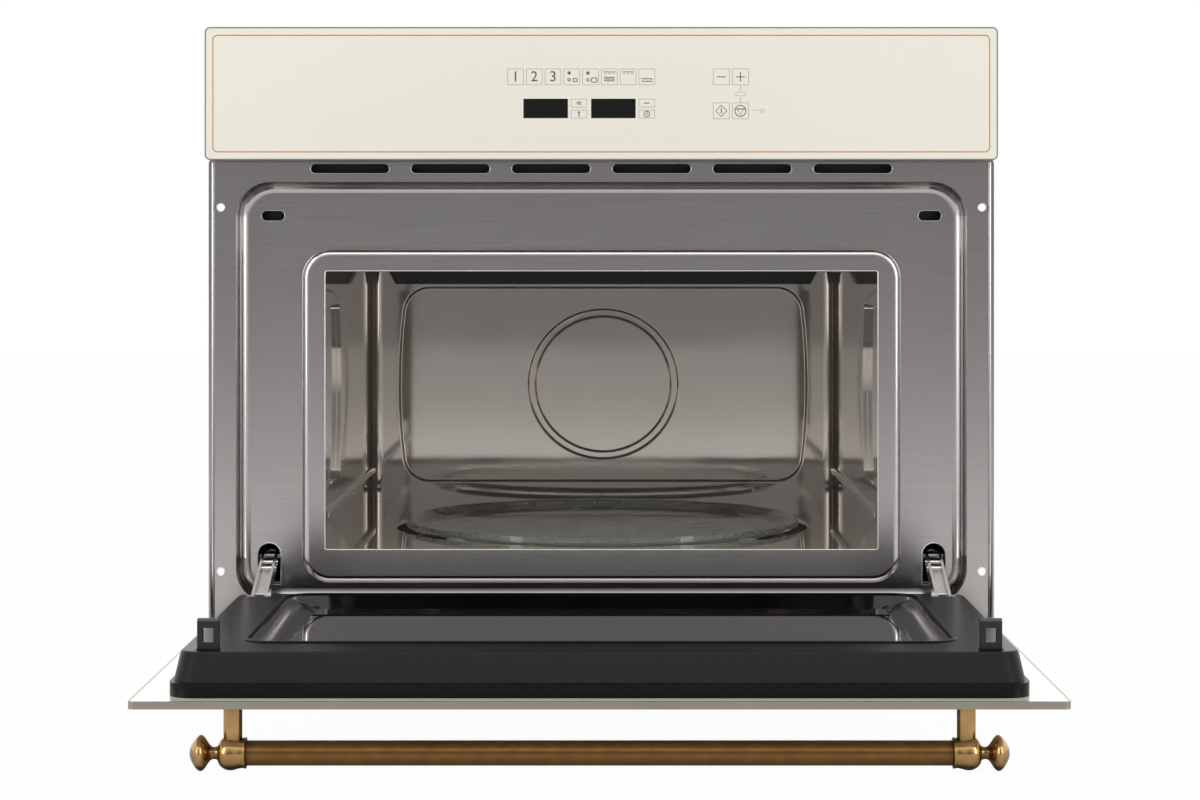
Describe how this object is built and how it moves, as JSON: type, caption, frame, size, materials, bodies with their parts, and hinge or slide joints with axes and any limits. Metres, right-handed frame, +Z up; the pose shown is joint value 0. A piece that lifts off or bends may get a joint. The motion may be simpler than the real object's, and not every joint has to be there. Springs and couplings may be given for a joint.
{
  "type": "built-in microwave oven",
  "caption": "Compact built-in microwave oven with grill, drop-down door on stay arms, glass turntable, touch panel and brass bar handle.",
  "frame": {"origin": "front middle of the base plate's underside, in the plane of the cabinet front", "axes": "+X to the right seen from the front, +Y into the cabinet, +Z up"},
  "size_m": [0.595, 0.889, 0.5005],
  "materials": {
    "stainless": "satin stainless pressing",
    "cavity_stainless": "bright annealed stainless, near mirror",
    "galvanised": "galvanised sheet",
    "black_enamel": "black enamel",
    "heater_sheath": "dark oxidised sheath",
    "clear_glass": "clear tempered glass",
    "cream_glass": "back-painted cream glass",
    "dark_glass": "dark tinted glass",
    "champagne_metal": "satin champagne anodised edge",
    "black_plastic": "fine moulded texture",
    "white_plastic": "moulded",
    "bright_steel": "zinc plated",
    "spring_steel": "spring steel",
    "copper_winding": "enamelled copper",
    "board": "glass epoxy board",
    "display": "black display block",
    "antique_brass": "brushed antique brass"
  },
  "bodies": {
    "housing": {"front_frame": "stainless", "cavity_shell": "cavity_stainless", "air_baffle": "black_enamel", "grill_reflector": "galvanised", "grill_heater": "heater_sheath", "turntable_motor": "galvanised", "base_plate": "galvanised", "housing_wrap": "galvanised", "rear_panel": "galvanised", "cable_gland": "black_plastic", "deck_plate": "galvanised", "cover_screws": "bright_steel", "waveguide": "galvanised", "waveguide_cover": "white_plastic", "magnetron": "galvanised", "transformer": "galvanised", "transformer_windings": "copper_winding", "capacitor": "galvanised", "fan_shroud": "galvanised", "fan_motor": "galvanised", "oven_lamp": "white_plastic", "filter_board": "board", "interlocks": "white_plastic", "panel_glass": "cream_glass", "panel_rim": "champagne_metal", "panel_carrier": "black_plastic", "displays": "display", "control_board": "board", "pivot_brackets": "bright_steel", "hinge_pins": "bright_steel", "spring_cases": "galvanised", "stay_springs": "spring_steel"},
    "door": {"door_glass": "cream_glass", "door_trim": "champagne_metal", "door_frame": "black_plastic", "door_cover": "black_plastic", "window_surround": "black_plastic", "door_window": "dark_glass", "door_choke": "black_enamel", "choke_posts": "black_plastic", "door_hinges": "bright_steel", "latch_guides": "black_plastic", "latch_spring": "spring_steel", "spring_post": "black_plastic", "handle_bar": "antique_brass", "handle_posts": "antique_brass", "handle_bosses": "antique_brass", "handle_finials": "antique_brass", "handle_screws": "bright_steel"},
    "latch": {"latch_bar": "black_plastic"},
    "stay_left": {"stay_arm_left": "bright_steel"},
    "stay_right": {"stay_arm_right": "bright_steel"},
    "turntable": {"turntable_tray": "clear_glass", "turntable_coupler": "white_plastic"},
    "ring": {"roller_ring": "white_plastic"},
    "wheel_1": {"roller_1": "white_plastic"},
    "wheel_2": {"roller_2": "white_plastic"},
    "wheel_3": {"roller_3": "white_plastic"},
    "fan": {"cooling_fan": "black_plastic"}
  },
  "joints": [
    {"name": "door_swing", "type": "hinge", "parent": "housing", "child": "door", "pos_m": [0, -0.007, 0.014], "axis": [-1, 0, 0], "range_deg": [0, 90], "deforming": ["stay_springs"]},
    {"name": "latch_slide", "type": "slide", "parent": "door", "child": "latch", "axis": [0, -1, 0], "range_m": [0, 0.002], "stiffness_N_per_m": 400, "deforming": ["latch_spring"]},
    {"name": "stay_swing_left", "type": "hinge", "parent": "door", "child": "stay_left", "pos_m": [-0.255, -0.033, 0.026], "axis": [1, 0, 0], "range_deg": [0, 75]},
    {"name": "stay_swing_right", "type": "hinge", "parent": "door", "child": "stay_right", "pos_m": [0.255, -0.033, 0.026], "axis": [1, 0, 0], "range_deg": [0, 75]},
    {"name": "turntable_spin", "type": "hinge", "parent": "housing", "child": "turntable", "pos_m": [0, 0.23, 0.045], "axis": [0, 0, 1], "continuous": true},
    {"name": "ring_spin", "type": "hinge", "parent": "housing", "child": "ring", "pos_m": [0, 0.23, 0.045], "axis": [0, 0, 1], "continuous": true},
    {"name": "fan_spin", "type": "hinge", "parent": "housing", "child": "fan", "pos_m": [0.12, 0.44, 0.372], "axis": [0, 1, 0], "continuous": true},
    {"name": "wheel_spin_1", "type": "hinge", "parent": "ring", "child": "wheel_1", "pos_m": [0, 0.37, 0.045], "axis": [0, 1, 0], "continuous": true},
    {"name": "wheel_spin_2", "type": "hinge", "parent": "ring", "child": "wheel_2", "pos_m": [-0.12124, 0.16, 0.045], "axis": [-0.866, -0.5, 0], "continuous": true},
    {"name": "wheel_spin_3", "type": "hinge", "parent": "ring", "child": "wheel_3", "pos_m": [0.12124, 0.16, 0.045], "axis": [0.866, -0.5, 0], "continuous": true}
  ],
  "couplings": [
    {"joint": "stay_swing_left", "follows": "door_swing", "ratio": 0.83},
    {"joint": "stay_swing_right", "follows": "door_swing", "ratio": 0.83},
    {"joint": "ring_spin", "follows": "turntable_spin", "ratio": 0.5},
    {"joint": "wheel_spin_1", "follows": "turntable_spin", "ratio": -10.145},
    {"joint": "wheel_spin_2", "follows": "turntable_spin", "ratio": -10.145},
    {"joint": "wheel_spin_3", "follows": "turntable_spin", "ratio": -10.145}
  ]
}
